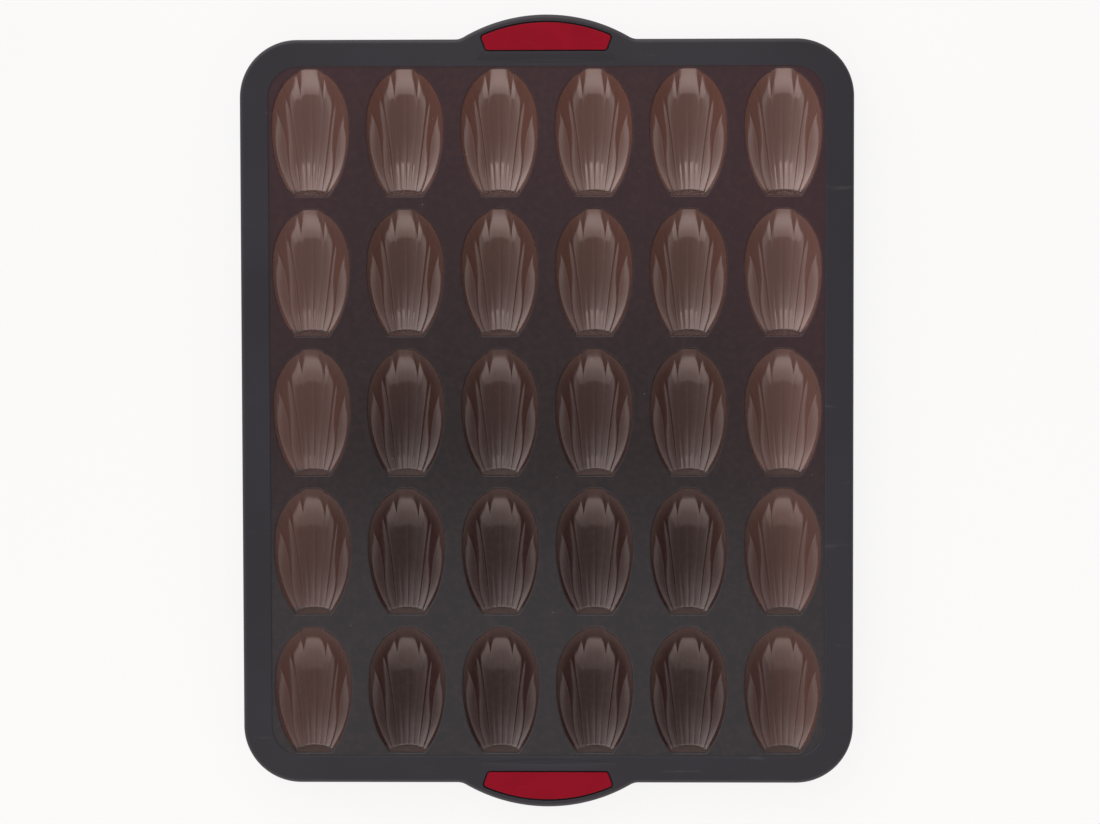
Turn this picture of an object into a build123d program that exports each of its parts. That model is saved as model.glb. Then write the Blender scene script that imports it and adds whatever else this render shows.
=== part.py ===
from build123d import *
import os
from math import pi, sin, sqrt

# A silicone baking mould with thirty shell-shaped cups in one thin sheet. A thick rim
# is moulded round the sheet over a flat steel frame, and each short side of the rim
# swells into a handle that carries a coloured grip insert.
# Millimetres, +Z up. The origin lies under the middle of the mould, on the level that
# the cups stand on. +Y points to the wide, scalloped ends of the shells.

# Cups
cup_length = 52.0
cup_width = 32.0
cup_depth = 11.7
cup_wall = 1.1
flute_depth = 0.45
columns = 6
rows = 5
column_pitch = 38.6
row_pitch = 57.2

# Sheet and rim
sheet_thickness = 1.2
field_margin = 1.1
rim_side_width = 11.7
rim_end_width = 11.0
corner_radius = 21.0
opening_radius = 12.5
rim_height = 4.6
rim_rise = 0.4
rim_top_round = 1.6
opening_bevel = 0.3

# Steel frame inside the rim
frame_inset = 5.6
frame_width = 3.0
frame_radius = 15.0
bond_gap = 0.05

# Handles and grip inserts
handle_radius = 67.5
handle_reach = 10.0
handle_blend = 7.0
insert_radius = 65.5
insert_width = 53.6
insert_base_width = 50.2
insert_height = 11.6
insert_inset = 4.4
insert_thickness = 1.6
insert_corner = 1.2
insert_rise = 0.15
insert_bevel = 0.25
insert_groove = 0.45
crease_length = 58.0
crease_inset = 7.2
crease_width = 1.9
crease_depth = 0.3

# How far a cutting shape runs past what it cuts
overrun = 2.0

# Five cross-sections of a cup, from the straight narrow end to the scalloped wide end.
# Each lies in its own tilted plane: from an edge line above the mouth to a point on
# the floor. Places along Y are shares of the cup's length from its middle, heights are
# shares of its depth, and the edge is a share of its half width.
edge_place_shares = [-0.513, -0.355, -0.192, -0.068, 0.053]
edge_height_shares = [0.115, 0.156, 0.292, 0.335, 0.387]
edge_width_shares = [0.487, 0.790, 1.006, 1.059, 1.023]
floor_place_shares = [-0.447, -0.259, 0.009, 0.326, 0.515]
floor_depth_shares = [0.479, 0.841, 1.0, 0.736, -0.065]
# The ridges between the flutes: how far out each stands, as a share of the edge, and
# how deep, as a share of the way from the edge line to the floor point.
ridge_width_shares = [
    [0.251, 0.515, 0.777],
    [0.242, 0.486, 0.725],
    [0.267, 0.518, 0.785],
    [0.311, 0.626, 0.891],
    [0.331, 0.703, 0.916],
]
ridge_depth_shares = [
    [0.971, 0.844, 0.610],
    [0.974, 0.864, 0.668],
    [0.971, 0.854, 0.624],
    [0.963, 0.800, 0.534],
    [0.954, 0.729, 0.474],
]
strips_per_flute = 2

# Sizes that follow from those above
field_width = (columns - 1) * column_pitch + cup_width
field_length = (rows - 1) * row_pitch + cup_length
opening_width = field_width + 2 * field_margin
opening_length = field_length + 2 * field_margin
body_width = opening_width + 2 * rim_side_width
body_length = opening_length + 2 * rim_end_width
slot_height = sheet_thickness + 2 * bond_gap
frame_opening_width = body_width - 2 * (frame_inset + frame_width)
frame_opening_length = body_length - 2 * (frame_inset + frame_width)
frame_opening_radius = frame_radius - frame_width


# Outlines of one cup
def section_plane(number):
    """Where a cross-section's edge line lies, and the way from there to the floor."""
    edge = Vector(
        0,
        edge_place_shares[number] * cup_length,
        edge_height_shares[number] * cup_depth,
    )
    floor = Vector(
        0,
        floor_place_shares[number] * cup_length,
        -floor_depth_shares[number] * cup_depth,
    )
    return edge, floor - edge


def ridge_line(number):
    """The edges and ridges of a cross-section, across the cup, as (out, down) pairs."""
    down = section_plane(number)[1].length
    edge = edge_width_shares[number] * cup_width / 2
    ridges = zip(ridge_width_shares[number], ridge_depth_shares[number])
    right = [(0, down)] + [(x * edge, s * down) for x, s in ridges] + [(edge, 0)]
    left = [(-x, s) for x, s in reversed(right[1:])]
    return left + right


def strip_point(start, end, share, out):
    """A point some way along a strip of a cross-section, and some way out from it."""
    across = Vector(end[0] - start[0], end[1] - start[1])
    outwards = Vector(-across.Y, across.X).normalized()
    return Vector(*start) + across * share + outwards * out


def on_plane(number, point):
    """A point of a cross-section, in the cup's own frame."""
    edge, way = section_plane(number)
    return edge + way.normalized() * point.Y + Vector(point.X, 0, 0)


def inner_line(number):
    """A cross-section of the cavity: plain at both edges, and fluted between them."""
    line = ridge_line(number)
    points = [Vector(*line[0]), Vector(*line[1])]
    for start, end in zip(line[1:], line[2:-1]):
        for strip in range(1, strips_per_flute + 1):
            share = strip / strips_per_flute
            bulge = flute_depth * sin(pi * share)
            points.append(strip_point(start, end, share, bulge))
    points.append(Vector(*line[-1]))
    return [on_plane(number, point) for point in points]


def outer_line(number):
    """The same cross-section on the outside of the wall, which is smooth."""
    line = ridge_line(number)
    edges = [
        strip_point(*band, share, cup_wall)
        for band in ((line[0], line[1]), (line[-2], line[-1]))
        for share in (0, 1)
    ]
    beds = [
        strip_point(start, end, 1 / 2, flute_depth + cup_wall)
        for start, end in zip(line[1:], line[2:-1])
    ]
    return [on_plane(number, point) for point in edges + beds]


def cup_cavity():
    """The space inside a cup: a fluted bowl that also runs on above the mouth."""
    sections = [inner_line(number) for number in range(len(edge_place_shares))]
    facets = [Face(Wire.make_polygon(line)) for line in (sections[0], sections[-1])]
    for near, far in zip(sections, sections[1:]):
        pairs = list(zip(near, far))
        for (a, b), (d, c) in zip(pairs, pairs[1:] + pairs[:1]):
            halves = [(a, b, c), (a, c, d)] if a.X < 0 else [(a, b, d), (b, c, d)]
            facets += [Face(Wire.make_polygon(half)) for half in halves]
    return Solid(Shell(facets))


def cup_shell():
    """The outside of a cup: a smooth bowl one wall larger, up to the sheet's middle."""
    corners = []
    for number in range(len(edge_place_shares)):
        way = section_plane(number)[1].normalized()
        behind = Vector(0, way.Z, -way.Y) * (cup_wall if number == 0 else 0)
        corners += [point + behind for point in outer_line(number)]
    bowl = ConvexPolyhedron(corners)
    below = Pos(0, 0, -sheet_thickness / 2) * Box(
        2 * cup_length,
        2 * cup_length,
        2 * cup_depth,
        align=(Align.CENTER, Align.CENTER, Align.MAX),
    )
    return bowl & below


def cup_places():
    """The middle of each cup's mouth on the sheet."""
    return GridLocations(column_pitch, row_pitch, columns, rows).locations


# Pieces, with the sheet's upper face at height zero
def mould_sheet():
    """The thin sheet with its thirty cups and the edge that the rim holds."""
    sheet = extrude(
        RectangleRounded(
            frame_opening_width - 2 * bond_gap,
            frame_opening_length - 2 * bond_gap,
            frame_opening_radius - bond_gap,
        ),
        -sheet_thickness,
    )
    shell = cup_shell()
    cavity = cup_cavity()
    sheet = sheet + [place * shell for place in cup_places()]
    return sheet - [place * cavity for place in cup_places()]


def core_frame():
    """The flat steel frame that keeps the rim straight."""
    outside = RectangleRounded(
        frame_opening_width + 2 * frame_width,
        frame_opening_length + 2 * frame_width,
        frame_radius,
    )
    inside = RectangleRounded(
        frame_opening_width, frame_opening_length, frame_opening_radius
    )
    return extrude(outside - inside, -sheet_thickness)


def rim_plan():
    """The rim's outline with its two handles."""
    plan = RectangleRounded(body_width, body_length, corner_radius)
    centre = body_length / 2 + handle_reach - handle_radius
    for side in (1, -1):
        plan += Pos(0, side * centre) * Circle(handle_radius)
    corners = plan.vertices().filter_by(lambda v: abs(v.X) < handle_radius)
    return fillet(corners, handle_blend)


def insert_plan(growth=0):
    """A grip insert's outline at the +Y handle, pushed outwards by a growth."""
    base = body_length / 2 - insert_inset
    top = base + insert_height
    drop = insert_radius - sqrt(insert_radius**2 - (insert_width / 2) ** 2)
    left, right = -insert_width / 2, insert_width / 2
    sides = Polyline(
        (right, top - drop),
        (insert_base_width / 2, base),
        (-insert_base_width / 2, base),
        (left, top - drop),
    )
    crown = ThreePointArc((left, top - drop), (0, top), (right, top - drop))
    plan = make_face(sides + crown)
    plan = fillet(plan.vertices(), insert_corner)
    return offset(plan, growth) if growth else plan


def crease_plan():
    """The lens-shaped crease between an insert and the sheet, at the +Y handle."""
    middle = body_length / 2 - crease_inset - crease_width / 2
    start, end = (-crease_length / 2, middle), (crease_length / 2, middle)
    outer = ThreePointArc(start, (0, middle + crease_width / 2), end)
    inner = ThreePointArc(end, (0, middle - crease_width / 2), start)
    return make_face(outer + inner)


def rim():
    """The thick ring with its handles, frame slot, insert pockets and creases."""
    ring = Pos(0, 0, rim_rise) * extrude(rim_plan(), -rim_height)
    ring = fillet(ring.edges().group_by(Axis.Z)[-1], rim_top_round)
    opening = RectangleRounded(opening_width, opening_length, opening_radius)
    ring -= extrude(opening, overrun + rim_height, both=True)
    mouth = ring.edges().group_by(Axis.Z)[-1].filter_by(
        lambda e: abs(e.center().X) <= opening_width / 2
        and abs(e.center().Y) <= opening_length / 2
    )
    ring = chamfer(mouth, opening_bevel)
    slot = RectangleRounded(
        frame_opening_width + 2 * (frame_width + bond_gap),
        frame_opening_length + 2 * (frame_width + bond_gap),
        frame_radius + bond_gap,
    )
    ring -= Pos(0, 0, bond_gap) * extrude(slot, -slot_height)
    pocket = extrude(insert_plan(insert_groove), overrun)
    pocket = Pos(0, 0, rim_rise + insert_rise - insert_thickness - bond_gap) * pocket
    crease = Pos(0, 0, rim_rise - crease_depth) * extrude(crease_plan(), overrun)
    for turn in (0, 180):
        ring -= Rot(0, 0, turn) * (pocket + crease)
    return ring


def grip_insert(turn):
    """A coloured insert in its pocket, with its upper edge eased."""
    insert = extrude(insert_plan(), -insert_thickness)
    insert = chamfer(insert.edges().group_by(Axis.Z)[-1], insert_bevel)
    return Rot(0, 0, turn) * Pos(0, 0, rim_rise + insert_rise) * insert


# Writing the files
def main():
    stand = Pos(0, 0, -cup_shell().bounding_box().min.Z)
    pieces = {
        "mould_sheet": mould_sheet(),
        "rim": rim(),
        "core_frame": core_frame(),
        "rear_grip_insert": grip_insert(0),
        "front_grip_insert": grip_insert(180),
    }
    os.makedirs("parts", exist_ok=True)
    for name, piece in pieces.items():
        export_step(stand * piece, f"parts/{name}.step")


main()
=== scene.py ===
from math import atan2, cos, pi, radians, sin, sqrt, tan

import bmesh
import bpy
import numpy as np
from bpy.props import FloatProperty, FloatVectorProperty, IntProperty, PointerProperty
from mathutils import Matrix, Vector


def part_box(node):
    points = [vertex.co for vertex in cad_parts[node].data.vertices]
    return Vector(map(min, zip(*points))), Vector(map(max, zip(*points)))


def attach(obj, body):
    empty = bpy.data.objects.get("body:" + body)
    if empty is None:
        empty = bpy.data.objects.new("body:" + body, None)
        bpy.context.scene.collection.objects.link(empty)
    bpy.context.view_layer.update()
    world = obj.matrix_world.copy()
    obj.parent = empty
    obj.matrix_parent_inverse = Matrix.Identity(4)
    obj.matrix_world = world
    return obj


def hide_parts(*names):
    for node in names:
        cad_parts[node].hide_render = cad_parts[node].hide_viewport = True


bl_info = {
    "name": "Madeleine mould",
    "version": (1, 0, 0),
    "blender": (4, 5, 0),
    "location": "3D View > Sidebar > Mould",
    "description": "Builds a silicone shell-cake mould around its packed model",
    "category": "Add Mesh",
}

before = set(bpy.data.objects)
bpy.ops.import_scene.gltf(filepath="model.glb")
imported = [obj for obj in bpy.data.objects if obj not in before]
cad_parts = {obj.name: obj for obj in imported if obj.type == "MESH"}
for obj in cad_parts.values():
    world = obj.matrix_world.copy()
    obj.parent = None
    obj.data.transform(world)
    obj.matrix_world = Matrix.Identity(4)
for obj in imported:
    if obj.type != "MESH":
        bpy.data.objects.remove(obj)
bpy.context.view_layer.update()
SHEET_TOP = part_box("mould_sheet")[1].z
RIM_LOW, RIM_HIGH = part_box("rim")
INSERT_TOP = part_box("rear_grip_insert")[1].z

# Sizes are in metres. Shares are of the cup's length, half width or depth.
# Five cross-sections of a cup, from the straight narrow end to the scalloped wide end.
# Each lies in a tilted plane, from an edge line above the mouth to a point on the floor.
EDGE_PLACE_SHARES = (-0.513, -0.355, -0.192, -0.068, 0.053)
EDGE_HEIGHT_SHARES = (0.115, 0.156, 0.292, 0.335, 0.387)
EDGE_WIDTH_SHARES = (0.462, 0.766, 0.940, 1.046, 1.016)
FLOOR_PLACE_SHARES = (-0.447, -0.259, 0.009, 0.297, 0.520)
FLOOR_DEPTH_SHARES = (0.479, 0.841, 1.0, 0.738, -0.043)
# Three ridges on each side of the middle one, and then the foot of the steep side wall,
# as shares of the edge's half width and of the way from the edge line to the floor.
RIDGE_WIDTH_SHARES = (
    (0.271, 0.602, 0.880, 0.975),
    (0.232, 0.480, 0.762, 0.972),
    (0.253, 0.496, 0.712, 0.985),
    (0.286, 0.574, 0.811, 0.917),
    (0.336, 0.733, 0.963, 0.979),
)
RIDGE_DEPTH_SHARES = (
    (0.971, 0.870, 0.640, 0.540),
    (0.974, 0.868, 0.680, 0.550),
    (0.972, 0.862, 0.690, 0.525),
    (0.963, 0.838, 0.605, 0.480),
    (0.954, 0.745, 0.474, 0.380),
)
# How hollow each flute is at each cross-section, from the middle one to the outer band,
# as a share of a full flute.
FLUTE_SHARES = (
    (2.8, 2.4, 1.4, 0.6, 0.1),
    (2.8, 2.4, 1.4, 0.9, 0.1),
    (1.8, 1.5, 1.1, 1.1, 0.1),
    (1.3, 1.7, 1.2, 1.0, 0.1),
    (0.6, 1.3, 0.9, 0.9, 0.1),
)
# Where along a flute its points lie. They crowd at the ridges, which stay crisp.
FLUTE_STEPS = (0.0, 0.05, 0.16, 0.32, 0.5, 0.68, 0.84, 0.95)
# The two middle flutes flow into one broad lobe between these cross-sections. The higher
# the flatness, the flatter the lobe.
LOBE_START, LOBE_END = 2.75, 3.4
LOBE_FLATNESS = 4
# The bowl meets its flat end wall in a small rounding, with these steps along it.
END_ROUND = 0.0005
END_STEPS = (0.25, 0.5, 0.75)
# The lip from a bowl up to the sheet, as (how far out, how far below the sheet), in shares
# of its height.
LIP_ROWS = ((0.10, 0.62), (0.22, 0.36), (0.40, 0.16), (0.62, 0.04), (0.85, 0.0), (1.30, 0.0))
# How far the cups' outsides stay above the floor.
FLOOR_GAP = 0.00001
# Corner of the sheet's hidden edge, and of the slot for the steel frame round it.
SHEET_CORNER, SLOT_CORNER = 0.01195, 0.01505
# The gap between pieces that are bonded to each other.
BOND_GAP = 0.00005
# Rounding of the rim's edges at the opening and at the pockets.
OPENING_EDGE, POCKET_EDGE = 0.0004, 0.00015
# The crease: its depth, how far its floor lies towards the sheet, and the rows of its
# wall and floor, as (share of the width, share of the depth).
CREASE_DEPTH, CREASE_LEAN = 0.00042, 0.00017
CREASE_ROWS = ((0.64, 1.0), (0.3, 1.05))
# How far a flat face runs on level beside a rounded edge, so that it is shaded flat.
SUPPORT = 0.00025
# Points closer than this become one: in every piece, and where a cup is cut off.
MERGE, CUT_MERGE = 1e-7, 6e-5
# Spacing of an outline's points: on the rim, on an insert's crown, and on small roundings.
RIM_STEP, CROWN_STEP, BLEND_STEP, CORNER_STEP = 0.0012, 0.0018, 0.0004, 0.0003
# How far the floor reaches, and the point of the mould in the middle of the picture.
FLOOR_REACH = 3.0
CAMERA_AIM = (0.0012, 0.0004, SHEET_TOP)


# Settings
class SheetSettings(bpy.types.PropertyGroup):
    """Sizes and colours of the thin sheet and its cups."""

    cup_length: FloatProperty(
        name="Cup length", description="Mouth of a cup along the mould",
        default=0.052, unit="LENGTH",
    )
    cup_width: FloatProperty(
        name="Cup width", description="Mouth of a cup across the mould",
        default=0.032, unit="LENGTH",
    )
    cup_depth: FloatProperty(
        name="Cup depth", description="From the sheet's upper face to the floor of a cup",
        default=0.0117, unit="LENGTH",
    )
    cup_wall: FloatProperty(
        name="Cup wall", description="Thickness of a cup's wall",
        default=0.0009, unit="LENGTH",
    )
    flute_hollow: FloatProperty(
        name="Flute hollow", description="Depth of a full flute as a share of its width",
        default=0.052,
    )
    lobe_reach: FloatProperty(
        name="Lobe reach", description="How far the broad lobe at the wide end stands out",
        default=0.0004, unit="LENGTH",
    )
    lip: FloatProperty(
        name="Lip", description="Height of the steep lip between the sheet and a bowl",
        default=0.0006, unit="LENGTH",
    )
    columns: IntProperty(
        name="Columns", description="Cups across the mould",
        default=6,
    )
    rows: IntProperty(
        name="Rows", description="Cups along the mould",
        default=5,
    )
    column_pitch: FloatProperty(
        name="Column pitch", description="From one column to the next",
        default=0.0386, unit="LENGTH",
    )
    row_pitch: FloatProperty(
        name="Row pitch", description="From one row to the next",
        default=0.0572, unit="LENGTH",
    )
    thickness: FloatProperty(
        name="Sheet thickness", description="Thickness between the cups",
        default=0.0012, unit="LENGTH",
    )
    web_color: FloatVectorProperty(
        name="Web", description="Colour of the flat sheet over the middle",
        subtype="COLOR", size=3, min=0, max=1, default=(0.0150, 0.0135, 0.0155),
    )
    # Painted light: the flat sheet lighter and greyer towards the -Y end.
    near_web_painted_light: FloatVectorProperty(
        name="Near web", description="Colour of the flat sheet at the -Y end",
        subtype="COLOR", size=3, min=0, max=1, default=(0.034, 0.037, 0.043),
    )
    # Painted glow of light coming through the sheet at the +Y end and the sides.
    web_painted_glow: FloatVectorProperty(
        name="Warm web", description="Colour of the flat sheet where light comes through it",
        subtype="COLOR", size=3, min=0, max=1, default=(0.040, 0.020, 0.026),
    )
    # Lighter and browner than the web: painted light coming through the thin cup walls.
    cup_color: FloatVectorProperty(
        name="Cups", description="Colour of the cups over the middle",
        subtype="COLOR", size=3, min=0, max=1, default=(0.038, 0.020, 0.018),
    )
    # Painted glow: the cups lighter and redder at the +Y end, where light comes through.
    far_cup_painted_glow: FloatVectorProperty(
        name="Far cups", description="Colour of the cups at the +Y end",
        subtype="COLOR", size=3, min=0, max=1, default=(0.135, 0.068, 0.053),
    )
    # Painted light on the cups' upper walls, which face the front softbox; also used for the
    # painted light on the narrow end wall.
    cup_painted_light: FloatVectorProperty(
        name="Pale cups", description="Colour of the cups' upper walls away from the +Y end",
        subtype="COLOR", size=3, min=0, max=1, default=(0.095, 0.074, 0.069),
    )
    # Painted glow along both sides, where light comes through; also the tint of the fine
    # mottle.
    side_glow_and_mottle_color: FloatVectorProperty(
        name="Side cups", description="Colour of the cups along both sides",
        subtype="COLOR", size=3, min=0, max=1, default=(0.178, 0.100, 0.085),
    )


class RimSettings(bpy.types.PropertyGroup):
    """Sizes and colours of the thick rim with its handles."""

    width: FloatProperty(
        name="Width", description="Body across the mould",
        default=0.2506, unit="LENGTH",
    )
    length: FloatProperty(
        name="Length", description="Body along the mould, without the handles",
        default=0.305, unit="LENGTH",
    )
    corner_radius: FloatProperty(
        name="Corner radius", description="Corners of the body",
        default=0.0235, unit="LENGTH",
    )
    opening_width: FloatProperty(
        name="Opening width", description="Opening that shows the sheet",
        default=0.2272, unit="LENGTH",
    )
    opening_length: FloatProperty(
        name="Opening length", description="Opening that shows the sheet",
        default=0.283, unit="LENGTH",
    )
    opening_radius: FloatProperty(
        name="Opening corner", description="Corners of the opening",
        default=0.0125, unit="LENGTH",
    )
    top_round: FloatProperty(
        name="Top rounding", description="Soft upper edge",
        default=0.0016, unit="LENGTH",
    )
    low_round: FloatProperty(
        name="Lower rounding", description="Soft lower edge",
        default=0.0008, unit="LENGTH",
    )
    handle_radius: FloatProperty(
        name="Handle radius", description="Arc of a handle",
        default=0.0675, unit="LENGTH",
    )
    handle_reach: FloatProperty(
        name="Handle reach", description="How far a handle stands out",
        default=0.010, unit="LENGTH",
    )
    handle_blend: FloatProperty(
        name="Handle blend", description="Hollow where a handle meets the rim",
        default=0.007, unit="LENGTH",
    )
    color: FloatVectorProperty(
        name="Rim", description="Colour of the rim",
        subtype="COLOR", size=3, min=0, max=1, default=(0.0225, 0.0245, 0.033),
    )


class InsertSettings(bpy.types.PropertyGroup):
    """Sizes and colour of the two grip inserts."""

    radius: FloatProperty(
        name="Crown radius", description="Arc of the outer edge",
        default=0.0655, unit="LENGTH",
    )
    width: FloatProperty(
        name="Width", description="Between the two tips",
        default=0.0531, unit="LENGTH",
    )
    base_width: FloatProperty(
        name="Base width", description="Straight inner edge",
        default=0.0490, unit="LENGTH",
    )
    height: FloatProperty(
        name="Height", description="From the inner edge to the crown",
        default=0.0112, unit="LENGTH",
    )
    inset: FloatProperty(
        name="Inset", description="Inner edge inside the body's edge",
        default=0.0044, unit="LENGTH",
    )
    corner: FloatProperty(
        name="Corner", description="Rounding of the corners",
        default=0.0012, unit="LENGTH",
    )
    groove: FloatProperty(
        name="Groove", description="Gap round an insert",
        default=0.0006, unit="LENGTH",
    )
    thickness: FloatProperty(
        name="Thickness", description="Depth of an insert",
        default=0.0016, unit="LENGTH",
    )
    edge: FloatProperty(
        name="Edge", description="Rounding of the upper edge",
        default=0.0003, unit="LENGTH",
    )
    color: FloatVectorProperty(
        name="Insert", description="Colour of the inserts",
        subtype="COLOR", size=3, min=0, max=1, default=(0.260, 0.003, 0.016),
    )


class StageSettings(bpy.types.PropertyGroup):
    """Camera, lights and floor."""

    distance: FloatProperty(
        name="Camera distance", description="From the lens to the mould",
        default=1.6, unit="LENGTH",
    )
    tilt: FloatProperty(
        name="Camera tilt", description="How far the camera leans towards the cups' wide ends",
        default=radians(3.4), subtype="ANGLE",
    )
    lean: FloatProperty(
        name="Camera lean", description="How far the camera leans to the right",
        default=radians(1.5), subtype="ANGLE",
    )
    roll: FloatProperty(
        name="Camera roll", description="How far the camera is turned about its view",
        default=radians(-0.14), subtype="ANGLE",
    )
    scale: FloatProperty(
        name="Picture scale", description="Width of the view at the mould",
        default=0.4503, unit="LENGTH",
    )
    room: FloatProperty(
        name="Room light", description="Strength of the room's even light",
        default=1.22,
    )
    front: FloatProperty(
        name="Front softbox", description="Power of the softbox by the narrow ends",
        default=0.52, unit="POWER",
    )
    back: FloatProperty(
        name="Back softbox", description="Power of the softbox by the wide ends",
        default=0.058, unit="POWER",
    )


# Outlines
def arc(centre, radius, start, end, step=RIM_STEP):
    """Points on an arc from one angle to another."""
    count = max(6, round(abs(end - start) * radius / step))
    angles = np.linspace(start, end, count + 1)
    across, along = centre[0] + radius * np.cos(angles), centre[1] + radius * np.sin(angles)
    return np.stack([across, along], 1)


def rounded_rectangle(width, length, radius):
    """A rounded rectangle about the middle, against the clock."""
    x, y = width / 2 - radius, length / 2 - radius
    centres = ((x, y), (-x, y), (-x, -y), (x, -y))
    return np.concatenate([
        arc(centre, radius, quarter * pi / 2, (quarter + 1) * pi / 2, step=radius * pi / 32)
        for quarter, centre in enumerate(centres)
    ])


def outwards(points):
    """Unit directions out of a closed outline that runs against the clock."""
    along = np.roll(points, -1, 0) - np.roll(points, 1, 0)
    across = np.stack([along[:, 1], -along[:, 0]], 1)
    return across / np.linalg.norm(across, axis=1)[:, None]


def rim_outline(rim):
    """The rim's outline with its two handles."""
    x, y = rim.width / 2 - rim.corner_radius, rim.length / 2 - rim.corner_radius
    centre = rim.length / 2 + rim.handle_reach - rim.handle_radius
    blend_y = rim.length / 2 + rim.handle_blend
    blend_x = sqrt((rim.handle_radius + rim.handle_blend) ** 2 - (blend_y - centre) ** 2)
    rise = atan2(blend_y - centre, blend_x)
    half = np.concatenate([
        arc((x, y), rim.corner_radius, 0, pi / 2),
        arc((blend_x, blend_y), rim.handle_blend, -pi / 2, rise - pi, step=BLEND_STEP),
        arc((0, centre), rim.handle_radius, rise, pi - rise),
        arc((-blend_x, blend_y), rim.handle_blend, -rise, -pi / 2, step=BLEND_STEP),
        arc((-x, y), rim.corner_radius, pi / 2, pi),
    ])
    return np.concatenate([half, -half])


def insert_outline(insert, rim):
    """A grip insert's outline at the +Y handle."""
    base = rim.length / 2 - insert.inset
    top = base + insert.height
    centre = top - insert.radius
    tip = sqrt(insert.radius**2 - (insert.width / 2) ** 2) + centre
    rise = atan2(tip - centre, insert.width / 2)
    crown = arc((0, centre), insert.radius, rise, pi - rise, step=CROWN_STEP)
    left, right = (-insert.base_width / 2, base), (insert.base_width / 2, base)
    corners = np.concatenate([crown, [left, right]])
    sharp = (0, len(crown) - 1, len(crown), len(crown) + 1)
    points = []
    for number, corner in enumerate(corners):
        if number not in sharp:
            points.append(corner)
            continue
        before = corners[number - 1] - corner
        after = corners[(number + 1) % len(corners)] - corner
        before, after = before / np.linalg.norm(before), after / np.linalg.norm(after)
        half_angle = np.arccos(np.clip(before @ after, -1, 1)) / 2
        reach = insert.corner / tan(half_angle)
        inwards = (before + after) / np.linalg.norm(before + after)
        middle = corner + inwards * insert.corner / sin(half_angle)
        start, end = corner + before * reach - middle, corner + after * reach - middle
        first, last = atan2(start[1], start[0]), atan2(end[1], end[0])
        last += 2 * pi if last < first else 0
        points.extend(arc(middle, insert.corner, first, last, step=CORNER_STEP))
    return np.array(points)


def lens_outline(rim, length=0.058, inset=0.0072, width=0.0028, count=48):
    """The lens-shaped crease between an insert and the sheet, at the +Y handle."""
    middle = rim.length / 2 - inset - width / 2
    places = np.linspace(1, -1, count + 1)
    swell = (1 - places**2) * width / 2
    outer = np.stack([places * length / 2, middle + swell], 1)
    inner = np.stack([-places * length / 2, middle - swell], 1)
    return np.concatenate([outer, inner[1:-1]])


# Meshes
def ring(mesh, outline, height, grow=0.0):
    """A closed row of vertices on an outline, pushed outwards by a distance."""
    points = outline + outwards(outline) * grow if grow else outline
    return [mesh.verts.new((x, y, height)) for x, y in points]


def bands(mesh, rows):
    """Faces between each closed row and the next, which has as many vertices."""
    for lower, upper in zip(rows, rows[1:]):
        for here in range(len(lower)):
            there = (here + 1) % len(lower)
            mesh.faces.new((lower[here], lower[there], upper[there], upper[here]))


def fill(mesh, *rings):
    """Flat faces between an outer row and the rows inside it."""
    edges = []
    for row in rings:
        for here, there in zip(row, row[1:] + row[:1]):
            edges.append(mesh.edges.get((here, there)) or mesh.edges.new((here, there)))
    bmesh.ops.triangle_fill(mesh, use_beauty=True, use_dissolve=False, edges=edges)


def rolled_edge(radius, steps=7):
    """Places on a quarter round: how far in and how far down from the sharp edge."""
    angles = np.linspace(0, pi / 2, steps + 1)
    return [(radius * (1 - sin(a)), radius * (1 - cos(a))) for a in angles]


def finish_piece(mesh, name, node, slot_name, material, sharp=radians(38)):
    """Turns a bmesh into a piece that stands for a node and rides on the one body."""
    bmesh.ops.remove_doubles(mesh, verts=mesh.verts, dist=MERGE)
    bmesh.ops.recalc_face_normals(mesh, faces=mesh.faces)
    if mesh.calc_volume(signed=True) < 0:  # the faces agree, but all of them look inwards
        bmesh.ops.reverse_faces(mesh, faces=mesh.faces)
    data = bpy.data.meshes.new(name)
    mesh.to_mesh(data)
    mesh.free()
    data.polygons.foreach_set("use_smooth", [True] * len(data.polygons))
    data.set_sharp_from_angle(angle=sharp)
    piece = bpy.data.objects.new(name, data)
    bpy.context.scene.collection.objects.link(piece)
    data.materials.append(material)
    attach(piece, "root")
    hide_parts(node)


# One cup
def smooth(stations, at):
    """Values between evenly numbered stations, on a curve through all of them."""
    stations = np.asarray(stations, float)
    count = len(stations)
    matrix, bends = np.eye(count), np.zeros_like(stations)
    for row in range(1, count - 1):
        matrix[row, row - 1:row + 2] = 1, 4, 1
        bends[row] = 6 * (stations[row + 1] - 2 * stations[row] + stations[row - 1])
    bends = np.linalg.solve(matrix, bends.reshape(count, -1)).reshape(stations.shape)
    start = np.clip(at.astype(int), 0, count - 2)
    shape = (-1,) + (1,) * (stations.ndim - 1)
    there = (at - start).reshape(shape)
    here = 1 - there
    curve = here * stations[start] + there * stations[start + 1]
    return curve + ((here**3 - here) * bends[start] + (there**3 - there) * bends[start + 1]) / 6


def cup_stringers(sheet):
    """Lines along a cup's right half: centre, ridges and edge, at each station."""
    half_width = sheet.cup_width / 2
    stations = []
    for number in range(len(EDGE_PLACE_SHARES)):
        edge_place = EDGE_PLACE_SHARES[number] * sheet.cup_length
        floor_place = FLOOR_PLACE_SHARES[number] * sheet.cup_length
        edge = np.array([0, edge_place, EDGE_HEIGHT_SHARES[number] * sheet.cup_depth])
        floor = np.array([0, floor_place, -FLOOR_DEPTH_SHARES[number] * sheet.cup_depth])
        width = EDGE_WIDTH_SHARES[number] * half_width
        line = zip((0, *RIDGE_WIDTH_SHARES[number], 1), (1, *RIDGE_DEPTH_SHARES[number], 0))
        way = floor - edge
        stations.append([edge + way * down + (out * width, 0, 0) for out, down in line])
    return np.array(stations)


def smooth_step(value, low, high):
    """0 below low, 1 above high and smooth between them."""
    share = np.clip((value - low) / (high - low), 0, 1)
    return share * share * (3 - 2 * share)


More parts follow.
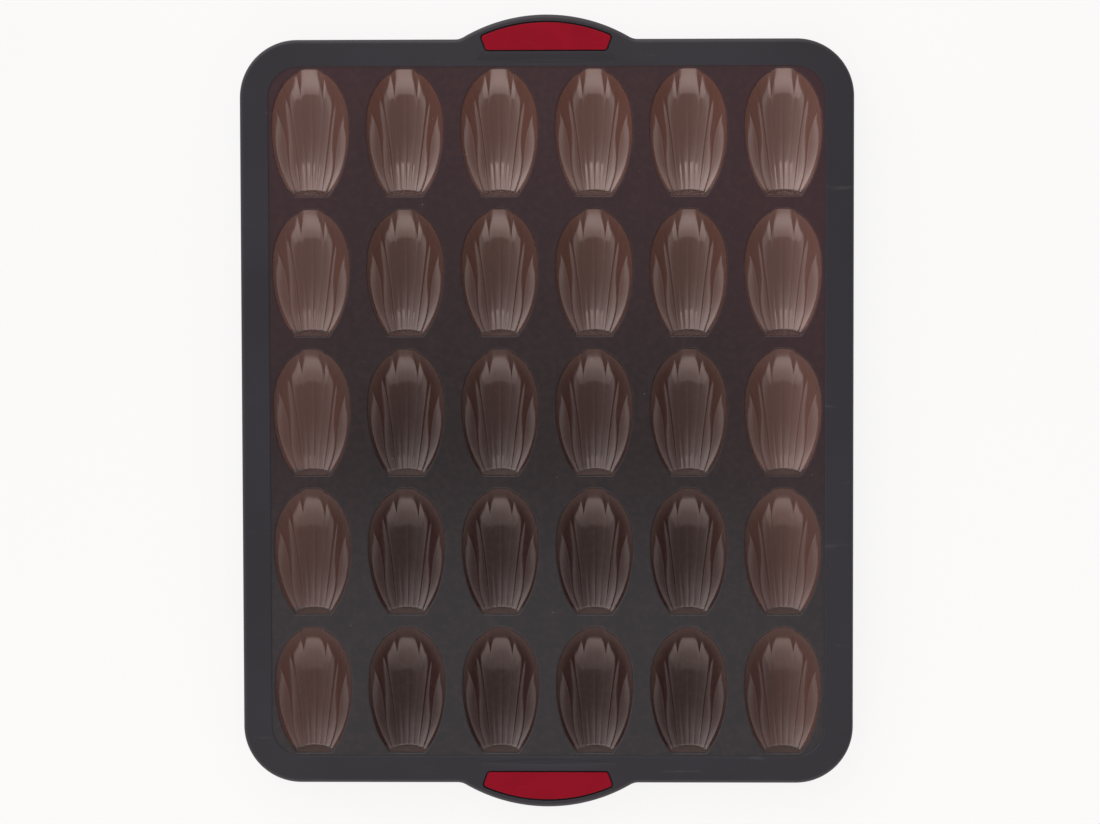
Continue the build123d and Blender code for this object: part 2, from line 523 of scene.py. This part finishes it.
def cup_grid(sheet, rows, steps, hollow=1.0, sharpness=3.2):
    """Points of a cup's bowl, row by row from the narrow end, as rows by columns.

    A flute's depth is scaled by hollow, and sharpness says how crisp the ridges are.
    """
    at = np.linspace(0, len(EDGE_PLACE_SHARES) - 1, rows + 1)
    lines = smooth(cup_stringers(sheet), at)
    depths = smooth(FLUTE_SHARES, at) * sheet.flute_hollow * hollow
    tilt = lines[:, 0] - lines[:, -1]
    tilt[:, 0] = 0
    tilt /= np.linalg.norm(tilt, axis=1)[:, None]
    normal = np.cross((1, 0, 0), tilt)
    merge = smooth_step(at, LOBE_START, LOBE_END)[:, None]
    columns = []
    for flute in range(lines.shape[1] - 1):
        start, end = lines[:, flute], lines[:, flute + 1]
        out = np.cross(end - start, normal)
        width = np.linalg.norm(out, axis=1)
        downwards = np.sum(out * tilt, axis=1) + out[:, 0] * 0.001
        out *= (np.sign(downwards) / width)[:, None]
        last = flute == lines.shape[1] - 2
        for share in steps + ((1.0,) if last else ()):
            bulge = depths[:, flute] * width * (1 - abs(2 * share - 1) ** sharpness)
            points = start + (end - start) * share + out * bulge[:, None]
            if flute == 0:
                crown = start + tilt * sheet.lobe_reach * hollow
                lobe = end + (crown - end) * (1 - share**LOBE_FLATNESS)
                lobe[:, 0] = end[:, 0] * share
                points = points * (1 - merge) + lobe * merge
            columns.append(points)
    right = np.stack(columns, 1)
    left = right[:, :0:-1] * (-1, 1, 1)
    return np.concatenate([left, right], 1)


def grid_mesh(grid):
    """A bmesh of quads over a grid of points, with the rows of its vertices."""
    mesh = bmesh.new()
    verts = [[mesh.verts.new(point) for point in row] for row in grid]
    for near, far in zip(verts, verts[1:]):
        for a, b, c, d in zip(near, near[1:], far[1:], far):
            mesh.faces.new((a, b, c, d))
    return mesh, verts


def cut_above(mesh, height):
    """Cuts a mesh off above a height and returns the open edge as an ordered row."""
    bmesh.ops.bisect_plane(
        mesh,
        geom=mesh.verts[:] + mesh.edges[:] + mesh.faces[:],
        dist=1e-8,
        plane_co=(0, 0, height),
        plane_no=(0, 0, 1),
        clear_outer=True,
    )
    bmesh.ops.remove_doubles(mesh, verts=mesh.verts, dist=CUT_MERGE)
    open_edges = [edge for edge in mesh.edges if edge.is_boundary]
    around = {}
    for edge in open_edges:
        for vert in edge.verts:
            around.setdefault(vert, []).append(edge.other_vert(vert))
    start = min(around, key=lambda vert: vert.co.y)
    loop, here, before = [start], around[start][0], start
    while here is not start:
        loop.append(here)
        before, here = here, next(v for v in around[here] if v is not before)
    for vert in loop:
        vert.co.z = height
    pairs = zip(loop, loop[1:] + loop[:1])
    area = sum(a.co.x * b.co.y - b.co.x * a.co.y for a, b in pairs)
    return loop if area > 0 else loop[::-1]


def soften(points, rounds=2):
    """A closed row of points with small kinks averaged out."""
    for _ in range(rounds):
        points = (np.roll(points, 1, 0) + 2 * points + np.roll(points, -1, 0)) / 4
    return points


def cell_corners(sheet, margin=0.0022):
    """The rectangle of sheet that is made with one cup."""
    x, y = sheet.cup_width / 2 + margin, sheet.cup_length / 2 + margin
    return np.array([(x, y), (-x, y), (-x, -y), (x, -y)])


def end_rounding(grid):
    """Rows of points from the flat end wall round into the bowl, in place of its first."""
    along = grid[1] - grid[0]
    along /= np.linalg.norm(along, axis=1)[:, None]
    flat = grid[0][:, [0, 2]]
    inwards = np.gradient(flat, axis=0)
    inwards = np.stack([-inwards[:, 1], inwards[:, 0]], 1)
    inwards /= np.linalg.norm(inwards, axis=1)[:, None]
    slope = (grid[0][0] - grid[0][len(flat) // 2]) * (0, 1, 1)
    slope /= np.linalg.norm(slope)
    in_plane = inwards[:, :1] * (1, 0, 0) + inwards[:, 1:] * slope / slope[2]
    in_plane /= np.linalg.norm(in_plane, axis=1)[:, None]
    corner = grid[0]
    on_bowl, on_wall = corner + along * END_ROUND, corner + in_plane * END_ROUND
    turns = [on_wall]
    for share in END_STEPS:
        rest = 1 - share
        turns.append(rest**2 * on_wall + 2 * share * rest * corner + share**2 * on_bowl)
    return np.array([*turns, on_bowl])


def cup_inside(sheet):
    """The fluted bowl, its end wall, its lip and the sheet's upper face round it."""
    grid = cup_grid(sheet, 32, FLUTE_STEPS)
    mesh, verts = grid_mesh(np.concatenate([end_rounding(grid), grid[1:]]))
    mesh.faces.new(verts[0])
    loop = cut_above(mesh, -sheet.lip)
    outline = np.array([vert.co[:2] for vert in loop])
    out = outwards(soften(outline, 3))
    rows = [loop]
    for reach, drop in LIP_ROWS:
        points = soften(outline + out * sheet.lip * reach, 1)
        rows.append([mesh.verts.new((x, y, -sheet.lip * drop)) for x, y in points])
    bands(mesh, rows)
    fill(mesh, ring(mesh, cell_corners(sheet), 0), rows[-1])
    return mesh


def cup_outside(sheet):
    """The wall's outside, with soft flutes, and the sheet's lower face round it."""
    grid = cup_grid(sheet, 16, (0.0, 0.25, 0.5, 0.75), hollow=0.8, sharpness=2.0)
    along = np.gradient(grid, axis=0)
    across = np.gradient(grid, axis=1)
    out = np.cross(along, across)
    out /= np.linalg.norm(out, axis=2)[..., None]
    out *= -np.sign(out[len(grid) // 2, grid.shape[1] // 2, 2])
    outside = grid + out * sheet.cup_wall
    behind = grid[0] - grid[1]
    behind = behind / np.linalg.norm(behind, axis=1)[:, None] * sheet.cup_wall
    outside = np.concatenate([(outside[0] + behind)[None], outside])
    outside[..., 2] = np.maximum(outside[..., 2], FLOOR_GAP - SHEET_TOP)
    mesh, verts = grid_mesh(outside)
    mesh.faces.new(verts[0])
    loop = cut_above(mesh, -sheet.thickness)
    fill(mesh, ring(mesh, cell_corners(sheet), -sheet.thickness), loop)
    return mesh


def as_arrays(mesh):
    """A bmesh's points and faces as plain lists, and frees it."""
    mesh.verts.index_update()
    points = np.array([vert.co for vert in mesh.verts])
    faces = [[vert.index for vert in face.verts] for face in mesh.faces]
    mesh.free()
    return points, faces


def repeat_cups(sheet, mesh):
    """Copies both sides of the cup to every place and returns those places."""
    middle_column, middle_row = (sheet.columns - 1) / 2, (sheet.rows - 1) / 2
    places = [
        ((column - middle_column) * sheet.column_pitch, (row - middle_row) * sheet.row_pitch)
        for row in range(sheet.rows)
        for column in range(sheet.columns)
    ]
    for points, faces in (as_arrays(cup_inside(sheet)), as_arrays(cup_outside(sheet))):
        for x, y in places:
            verts = [mesh.verts.new(point) for point in points + (x, y, SHEET_TOP)]
            for face in faces:
                mesh.faces.new([verts[index] for index in face])
    return places


# Materials
class Field:
    """A socket that varies over a surface, used in Python expressions."""

    def __init__(self, surface, socket):
        self.surface, self.socket = surface, socket

    def maths(self, operation, *values):
        inputs = {place: value for place, value in enumerate(values)}
        return self.surface.node("ShaderNodeMath", {"operation": operation}, inputs)

    def __add__(self, other):
        return self.maths("ADD", self, other)

    def __sub__(self, other):
        return self.maths("SUBTRACT", self, other)

    def __rsub__(self, other):
        return self.maths("SUBTRACT", other, self)

    def __mul__(self, other):
        return self.maths("MULTIPLY", self, other)

    def __abs__(self):
        return self.maths("ABSOLUTE", self)

    __radd__ = __add__
    __rmul__ = __mul__

    def wrapped(self, pitch):
        """The same value counted from the nearest multiple of a pitch."""
        return self.maths("WRAP", self, pitch / 2, -pitch / 2)

    def between(self, low, high):
        """0 below low, 1 above high and smooth between them."""
        settings = {"interpolation_type": "SMOOTHSTEP"}
        sockets = {"Value": self, "From Min": low, "From Max": high}
        return self.surface.node("ShaderNodeMapRange", settings, sockets)


class Surface:
    """A material's or the world's node tree, with one method that adds any node."""

    def __init__(self, name, owner=None):
        self.owner = owner or bpy.data.materials.new(name)
        self.owner.use_nodes = True
        self.tree = self.owner.node_tree
        self.tree.nodes.clear()

    def node(self, kind, settings=None, sockets=None, out=0):
        """Adds a node: its settings first, then the values or links of its sockets."""
        made = self.tree.nodes.new(kind)
        for name, value in (settings or {}).items():
            setattr(made, name, value)
        for name, value in (sockets or {}).items():
            if isinstance(value, Field):
                self.tree.links.new(value.socket, made.inputs[name])
            else:
                made.inputs[name].default_value = value
        return Field(self, made.outputs[out]) if made.outputs else None

    def position(self):
        """Where a point lies on the mould, in metres, as a vector."""
        return self.node("ShaderNodeTexCoord", out="Object")

    def parts(self, vector):
        """The three parts of a vector."""
        sockets = {0: vector}
        return [self.node("ShaderNodeSeparateXYZ", sockets=sockets, out=n) for n in range(3)]

    def noise(self, place, scale, detail=2.0, roughness=0.5):
        """Soft cloudy values about one half."""
        sockets = {"Vector": place, "Scale": scale, "Detail": detail, "Roughness": roughness}
        return self.node("ShaderNodeTexNoise", {"noise_dimensions": "3D"}, sockets)

    def specks(self, place, scale, size):
        """Small round marks: 1 inside a mark and 0 elsewhere."""
        sockets = {"Vector": place, "Scale": scale, "Randomness": 1.0}
        away = self.node("ShaderNodeTexVoronoi", {"feature": "F1"}, sockets, out="Distance")
        return 1 - away.between(size * 0.6, size)

    def scaled(self, place, x, y, z):
        """The position stretched along each axis."""
        sockets = {0: place, 1: (x, y, z)}
        return self.node("ShaderNodeVectorMath", {"operation": "MULTIPLY"}, sockets)

    def blend(self, amount, first, second):
        """A colour between two others."""
        sockets = {0: amount, 6: first, 7: second}
        return self.node("ShaderNodeMix", {"data_type": "RGBA"}, sockets, out=2)

    def bump(self, height, distance):
        """A normal that follows a height, with a depth in metres."""
        return self.node("ShaderNodeBump", sockets={"Height": height, "Distance": distance})

    def finish(self, sockets):
        """The surface shader and the output."""
        shader = self.node("ShaderNodeBsdfPrincipled", sockets=sockets)
        self.node("ShaderNodeOutputMaterial", sockets={"Surface": shader})
        return self.owner


def opaque(color, factor=1.0):
    """A colour with full alpha, lighter or darker by a factor."""
    return (*(min(1.0, part * factor) for part in color), 1.0)


def sheet_silicone(sheet):
    """Glossy brown silicone: dark over the middle, with a painted warm glow where light comes
    through, and painted light on the cups and towards the -Y end.
    """
    surface = Surface("sheet_silicone")
    place = surface.position()
    x, y, z = surface.parts(place)

    # Where a point is: in a cup, towards the +Y end, towards the -Y end, or at the sides.
    depth = (SHEET_TOP - z).between(0.0002, 0.0016)
    cloud = surface.noise(place, 14.0, 3.0) - 0.5
    far = (y + x * 0.2 + cloud * 0.05).between(-0.05, 0.145)
    near = (0 - y).between(0.0, 0.09)
    side = (abs(x) + cloud * 0.02).between(0.060, 0.112) * (1 - near * 0.3)

    # The flat sheet between the cups, with painted light: a warm painted glow at the +Y end and
    # the sides, where light comes through it.
    warm = far * 0.8 + side * 0.35
    web = surface.blend(warm, opaque(sheet.web_color), opaque(sheet.web_painted_glow))
    # Painted light: the web turns lighter and greyer towards the -Y end.
    web = surface.blend(near * 0.75, web, opaque(sheet.near_web_painted_light))

    # The cups, in painted light: a redder painted glow at the +Y end and the sides, paler
    # painted light on their upper walls elsewhere, and painted light and shade on the flat wall
    # at the narrow end.
    # Painted glow at the +Y end.
    cups = surface.blend(far, opaque(sheet.cup_color), opaque(sheet.far_cup_painted_glow))
    # Painted glow along both sides.
    cups = surface.blend(side * 0.75, cups, opaque(sheet.side_glow_and_mottle_color))
    along = y.wrapped(sheet.row_pitch)
    upper_wall = (z - SHEET_TOP).between(-0.0075, -0.001) * along.between(-0.018, 0.0)
    # Painted light on the upper walls of the cups away from the +Y end.
    pale = upper_wall * (1 - far) * 0.6
    cups = surface.blend(pale, cups, opaque(sheet.cup_painted_light))
    # Painted light and shade on the flat end wall: lighter than the bowl away from the +Y end,
    # darker than it at the +Y end.
    end = surface.blend(far, opaque(sheet.cup_painted_light, 0.75), opaque(sheet.cup_color, 1.3))
    cups = surface.blend((0 - along).between(0.0224, 0.0240), cups, end)
    # Painted light: the cups lighter and browner than the web, standing in for light through
    # their thin walls.
    color = surface.blend(depth, web, cups)

    # Wear: a fine mottle, a little dust and faint scratches along the cups.
    mottle = surface.noise(place, 420.0, 4.0).between(0.35, 0.75)
    color = surface.blend(mottle * 0.04, color, opaque(sheet.side_glow_and_mottle_color, 1.5))
    dust = surface.specks(place, 130.0, 0.035) * surface.noise(place, 30.0).between(0.5, 0.62)
    color = surface.blend(dust * 0.55, color, (0.35, 0.33, 0.31, 1.0))
    scratches = surface.noise(surface.scaled(place, 160.0, 12.0, 60.0), 1.0, 5.0, 0.6)
    roughness = 0.30 - depth * 0.17 + scratches.between(0.5, 0.8) * 0.08
    grain = surface.noise(place, 2600.0, 2.0)
    return surface.finish({
        "Base Color": color,
        "Roughness": roughness,
        "IOR": 1.45,
        "Coat Weight": depth * (far * 0.85 + 0.15),
        "Coat Roughness": 0.10,
        "Normal": surface.bump(grain + scratches * 0.4, 0.000003),
    })


def rim_silicone(rim):
    """Satin dark grey silicone with faint clouds, scuffs and dust."""
    surface = Surface("rim_silicone")
    place = surface.position()
    cloud = surface.noise(place, 22.0, 4.0)
    scuffs = surface.noise(surface.scaled(place, 30.0, 240.0, 60.0), 1.0, 5.0, 0.65)
    cloudy = cloud.between(0.3, 0.7)
    color = surface.blend(cloudy, opaque(rim.color, 0.92), opaque(rim.color, 1.10))
    color = surface.blend(scuffs.between(0.62, 0.74) * 0.14, color, (0.16, 0.165, 0.175, 1.0))
    dust = surface.specks(place, 150.0, 0.03) * surface.noise(place, 36.0).between(0.52, 0.64)
    color = surface.blend(dust * 0.6, color, (0.42, 0.41, 0.40, 1.0))
    grain = surface.noise(place, 1900.0, 3.0)
    return surface.finish({
        "Base Color": color,
        "Roughness": 0.40 + cloud * 0.10 + scuffs * 0.05,
        "IOR": 1.43,
        "Normal": surface.bump(grain, 0.000006),
    })


def insert_silicone(insert):
    """Matt red silicone with a fine grain."""
    surface = Surface("insert_silicone")
    place = surface.position()
    cloud = surface.noise(place, 60.0, 3.0)
    cloudy = cloud.between(0.3, 0.7)
    color = surface.blend(cloudy, opaque(insert.color, 0.93), opaque(insert.color, 1.06))
    scuffs = surface.noise(surface.scaled(place, 60.0, 500.0, 60.0), 1.0, 4.0, 0.6)
    color = surface.blend(scuffs.between(0.62, 0.76) * 0.10, color, (0.55, 0.10, 0.12, 1.0))
    grain = surface.noise(place, 2400.0, 3.0)
    return surface.finish({
        "Base Color": color,
        "Roughness": 0.56 + grain * 0.10,
        "IOR": 1.20,
        "Normal": surface.bump(grain, 0.000008),
    })


def frame_steel():
    """Rolled steel strip with fine lines along it."""
    surface = Surface("frame_steel")
    place = surface.position()
    lines = surface.noise(surface.scaled(place, 900.0, 900.0, 40.0), 1.0, 3.0)
    color = surface.blend(lines, (0.46, 0.46, 0.48, 1.0), (0.58, 0.58, 0.59, 1.0))
    return surface.finish({
        "Base Color": color,
        "Metallic": 1.0,
        "Roughness": 0.30 + lines * 0.12,
        "Normal": surface.bump(lines, 0.000004),
    })


def floor_paper():
    """White paper that keeps the shadow and shows white to the camera."""
    surface = Surface("floor_paper")
    place = surface.position()
    fibres = surface.noise(place, 300.0, 4.0)
    color = surface.blend(fibres, (0.86, 0.86, 0.86, 1.0), (0.90, 0.90, 0.90, 1.0))
    paper = surface.node("ShaderNodeBsdfDiffuse", sockets={"Color": color, "Roughness": 0.5})
    white = {"Color": (1.0, 1.0, 1.0, 1.0), "Strength": 1.0}
    glow = surface.node("ShaderNodeEmission", sockets=white)
    kinds = ("Is Camera Ray", "Is Glossy Ray", "Is Transmission Ray")
    camera, glossy, through = (surface.node("ShaderNodeLightPath", out=kind) for kind in kinds)
    shown = (camera + glossy + through) * 0.86
    mix = surface.node("ShaderNodeMixShader", sockets={0: shown, 1: paper, 2: glow})
    surface.node("ShaderNodeOutputMaterial", sockets={"Surface": mix})
    return surface.owner


def room_light(strength):
    """A soft room: dark overhead and low down, bright between, and white to the camera."""
    room = Surface("room", bpy.data.worlds.new("room"))
    x, y, z = room.parts(room.node("ShaderNodeTexCoord", out="Generated"))
    up, left = y.between(0.0, 0.8), (0 - x).between(-0.2, 0.8)
    bright = up * (1 - x.between(0.0, 0.45) * 0.85)
    low = (1 - z).between(0.32, 0.66)
    sides = left * 0.20 + up * left * 0.28 + low * z.between(0.03, 0.25) * 0.45
    ahead = (0 - y).between(0.55, 0.9) * (1 - z).between(0.75, 0.97) * 0.3
    level = (bright * (low * 0.5 + 0.65) + sides + ahead + 0.30) * strength
    seen = room.node("ShaderNodeLightPath", out="Is Camera Ray")
    level = level * (1 - seen) + seen
    tint = room.blend(seen, (1.0, 0.90, 0.88, 1.0), (1.0, 1.0, 1.0, 1.0))
    sky = room.node("ShaderNodeBackground", sockets={"Color": tint, "Strength": level})
    room.node("ShaderNodeOutputWorld", sockets={"Surface": sky})
    return room.owner


def softbox(name, place, target, size, power, color, spread):
    """A rectangular light that faces a point, hidden from the camera."""
    light = bpy.data.lights.new(name, "AREA")
    light.shape = "RECTANGLE"
    light.size, light.size_y = size
    light.energy, light.color, light.spread = power, color, spread
    lamp = bpy.data.objects.new(name, light)
    lamp.location = place
    lamp.rotation_euler = (Vector(target) - Vector(place)).to_track_quat("-Z", "Y").to_euler()
    lamp.visible_camera = False
    bpy.context.scene.collection.objects.link(lamp)


# Operators
class MOULD_OT_sheet(bpy.types.Operator):
    """Builds the thin sheet with its fluted cups"""

    bl_idname = "mould.sheet"
    bl_label = "Sheet with cups"

    def execute(self, context):
        sheet = context.scene.mould_sheet
        mesh = bmesh.new()
        places = repeat_cups(sheet, mesh)
        low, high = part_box("mould_sheet")
        outline = rounded_rectangle(high.x - low.x, high.y - low.y, SHEET_CORNER)
        heights = (SHEET_TOP, SHEET_TOP - sheet.thickness)
        upper, lower = (ring(mesh, outline, height) for height in heights)
        bands(mesh, (lower, upper))
        for row, height in zip((upper, lower), heights):
            holes = [ring(mesh, cell_corners(sheet) + place, height) for place in places]
            fill(mesh, row, *holes)
        material = sheet_silicone(sheet)
        names = ("sheet_with_cups", "mould_sheet", "sheet_silicone")
        finish_piece(mesh, *names, material, sharp=radians(50))
        return {"FINISHED"}


class MOULD_OT_rim(bpy.types.Operator):
    """Builds the thick rim with its handles, pockets and creases"""

    bl_idname = "mould.rim"
    bl_label = "Rim with handles"

    def execute(self, context):
        rim, insert = context.scene.mould_rim, context.scene.mould_insert
        bottom, top = RIM_LOW.z, RIM_HIGH.z
        mesh = bmesh.new()
        outline = rim_outline(rim)
        low_edge, top_edge = rolled_edge(rim.low_round), reversed(rolled_edge(rim.top_round))
        rows = [ring(mesh, outline, bottom, -rim.low_round - SUPPORT)]
        rows += [ring(mesh, outline, bottom + down, -inset) for inset, down in low_edge]
        rows += [ring(mesh, outline, top - down, -inset) for inset, down in top_edge]
        rows.append(ring(mesh, outline, top, -rim.top_round - SUPPORT))
        opening = rounded_rectangle(rim.opening_width, rim.opening_length, rim.opening_radius)
        steel_low, steel_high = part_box("core_frame")
        roof, floor = steel_high.z + BOND_GAP, steel_low.z - BOND_GAP
        slot = rounded_rectangle(
            steel_high.x - steel_low.x + 2 * BOND_GAP,
            steel_high.y - steel_low.y + 2 * BOND_GAP,
            SLOT_CORNER,
        )
        inner = [ring(mesh, opening, top, OPENING_EDGE + SUPPORT)]
        edge = rolled_edge(OPENING_EDGE, 4)
        inner += [ring(mesh, opening, top - down, inset) for inset, down in edge]
        inner.append(ring(mesh, opening, roof))
        inner.append(ring(mesh, slot, roof))
        inner.append(ring(mesh, slot, floor))
        inner.append(ring(mesh, opening, floor))
        inner.append(ring(mesh, opening, bottom))
        bands(mesh, rows)
        bands(mesh, inner)
        recesses = []
        for turn in (1, -1):
            recesses.append(self.pocket(mesh, insert_outline(insert, rim) * turn, insert))
            recesses.append(self.crease(mesh, lens_outline(rim) * turn, turn))
        fill(mesh, rows[-1], inner[0], *recesses)
        fill(mesh, rows[0], inner[-1])
        names = ("moulded_rim", "rim", "rim_silicone")
        finish_piece(mesh, *names, rim_silicone(rim), sharp=radians(33))
        return {"FINISHED"}

    def pocket(self, mesh, outline, insert):
        """Sinks an insert's pocket and returns the row at its mouth."""
        top, floor = RIM_HIGH.z, INSERT_TOP - insert.thickness - BOND_GAP
        edge = rolled_edge(POCKET_EDGE, 3)
        rows = [ring(mesh, outline, top, insert.groove + POCKET_EDGE + SUPPORT)]
        rows += [ring(mesh, outline, top - down, insert.groove + inset) for inset, down in edge]
        rows.append(ring(mesh, outline, floor, insert.groove))
        bands(mesh, rows)
        fill(mesh, rows[-1])
        return rows[0]

    def crease(self, mesh, outline, side):
        """Sinks a crease, steeper towards the sheet, and returns the row at its mouth."""
        middle = outline[:, 1].mean()
        breadth = abs(outline[:, 1] - middle)
        breadth = breadth / breadth.max()
        depth, lean = CREASE_DEPTH * breadth, side * CREASE_LEAN * breadth
        rows = [ring(mesh, outline, RIM_HIGH.z)]
        for share, down in CREASE_ROWS:
            across = middle + (outline[:, 1] - middle) * share - lean
            points = zip(outline[:, 0], across, RIM_HIGH.z - depth * down)
            rows.append([mesh.verts.new(point) for point in points])
        bands(mesh, rows)
        fill(mesh, rows[-1])
        return rows[0]


class MOULD_OT_inserts(bpy.types.Operator):
    """Builds the two grip inserts in their pockets"""

    bl_idname = "mould.inserts"
    bl_label = "Grip inserts"

    def execute(self, context):
        rim, insert = context.scene.mould_rim, context.scene.mould_insert
        material = insert_silicone(insert)
        for turn, side in ((1, "rear"), (-1, "front")):
            outline = insert_outline(insert, rim) * turn
            mesh = bmesh.new()
            rows = [ring(mesh, outline, INSERT_TOP - insert.thickness)]
            edge = reversed(rolled_edge(insert.edge, 5))
            rows += [ring(mesh, outline, INSERT_TOP - down, -inset) for inset, down in edge]
            rows.append(ring(mesh, outline, INSERT_TOP, -insert.edge - SUPPORT))
            bands(mesh, rows)
            fill(mesh, rows[0])
            fill(mesh, rows[-1])
            names = (f"{side}_insert", f"{side}_grip_insert", "insert_silicone")
            finish_piece(mesh, *names, material)
        return {"FINISHED"}


class MOULD_OT_frame(bpy.types.Operator):
    """Gives the hidden frame its steel"""

    bl_idname = "mould.frame"
    bl_label = "Frame finish"

    def execute(self, context):
        steel = frame_steel()
        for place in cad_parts["core_frame"].material_slots:
            place.material = steel
        return {"FINISHED"}


class MOULD_OT_stage(bpy.types.Operator):
    """Sets the floor, the lights and the camera"""

    bl_idname = "mould.stage"
    bl_label = "Stage"

    def execute(self, context):
        stage = context.scene.mould_stage
        scene = context.scene
        scene.view_settings.view_transform = "Standard"
        mesh = bmesh.new()
        bmesh.ops.create_grid(mesh, x_segments=8, y_segments=8, size=FLOOR_REACH)
        data = bpy.data.meshes.new("floor")
        mesh.to_mesh(data)
        mesh.free()
        floor = bpy.data.objects.new("floor", data)
        data.materials.append(floor_paper())
        scene.collection.objects.link(floor)
        softbox(
            "front_softbox", place=(0.0, -0.35, 0.20), target=(0.0, 0.13, 0.10),
            size=(0.75, 0.38), power=stage.front, color=(1.0, 0.77, 0.71), spread=radians(130),
        )
        softbox(
            "back_softbox", place=(0.0, 0.36, 0.24), target=(0.0, 0.22, 0.0),
            size=(0.24, 0.22), power=stage.back, color=(1.0, 0.78, 0.74), spread=radians(75),
        )
        scene.world = room_light(stage.room)
        lens = bpy.data.cameras.new("camera")
        lens.sensor_width = 36.0
        lens.lens = lens.sensor_width * stage.distance / stage.scale
        camera = bpy.data.objects.new("camera", lens)
        camera.rotation_euler = (-stage.tilt, stage.lean, stage.roll)
        back = camera.rotation_euler.to_matrix() @ Vector((0, 0, stage.distance))
        camera.location = Vector(CAMERA_AIM) + back
        scene.collection.objects.link(camera)
        scene.camera = camera
        return {"FINISHED"}


class MOULD_PT_panel(bpy.types.Panel):
    """Lists the mould's pieces and their settings"""

    bl_label = "Madeleine mould"
    bl_idname = "MOULD_PT_panel"
    bl_space_type = "VIEW_3D"
    bl_region_type = "UI"
    bl_category = "Mould"

    def draw(self, context):
        scene = context.scene
        for operator, settings in (
            (MOULD_OT_sheet, scene.mould_sheet),
            (MOULD_OT_rim, scene.mould_rim),
            (MOULD_OT_inserts, scene.mould_insert),
            (MOULD_OT_frame, None),
            (MOULD_OT_stage, scene.mould_stage),
        ):
            box = self.layout.box()
            box.operator(operator.bl_idname)
            for name in settings.__annotations__ if settings else ():
                box.prop(settings, name)


SETTINGS = {
    "mould_sheet": SheetSettings,
    "mould_rim": RimSettings,
    "mould_insert": InsertSettings,
    "mould_stage": StageSettings,
}
OPERATORS = (MOULD_OT_sheet, MOULD_OT_rim, MOULD_OT_inserts, MOULD_OT_frame, MOULD_OT_stage)


def register():
    for group in (*SETTINGS.values(), *OPERATORS, MOULD_PT_panel):
        bpy.utils.register_class(group)
    for name, group in SETTINGS.items():
        setattr(bpy.types.Scene, name, PointerProperty(type=group))


def unregister():
    for name in SETTINGS:
        delattr(bpy.types.Scene, name)
    for group in (MOULD_PT_panel, *reversed(OPERATORS), *reversed(SETTINGS.values())):
        bpy.utils.unregister_class(group)


def main():
    register()
    bpy.ops.mould.sheet()
    bpy.ops.mould.rim()
    bpy.ops.mould.inserts()
    bpy.ops.mould.frame()
    bpy.ops.mould.stage()
    bpy.context.view_layer.update()


if __name__ == "__main__":
    main()
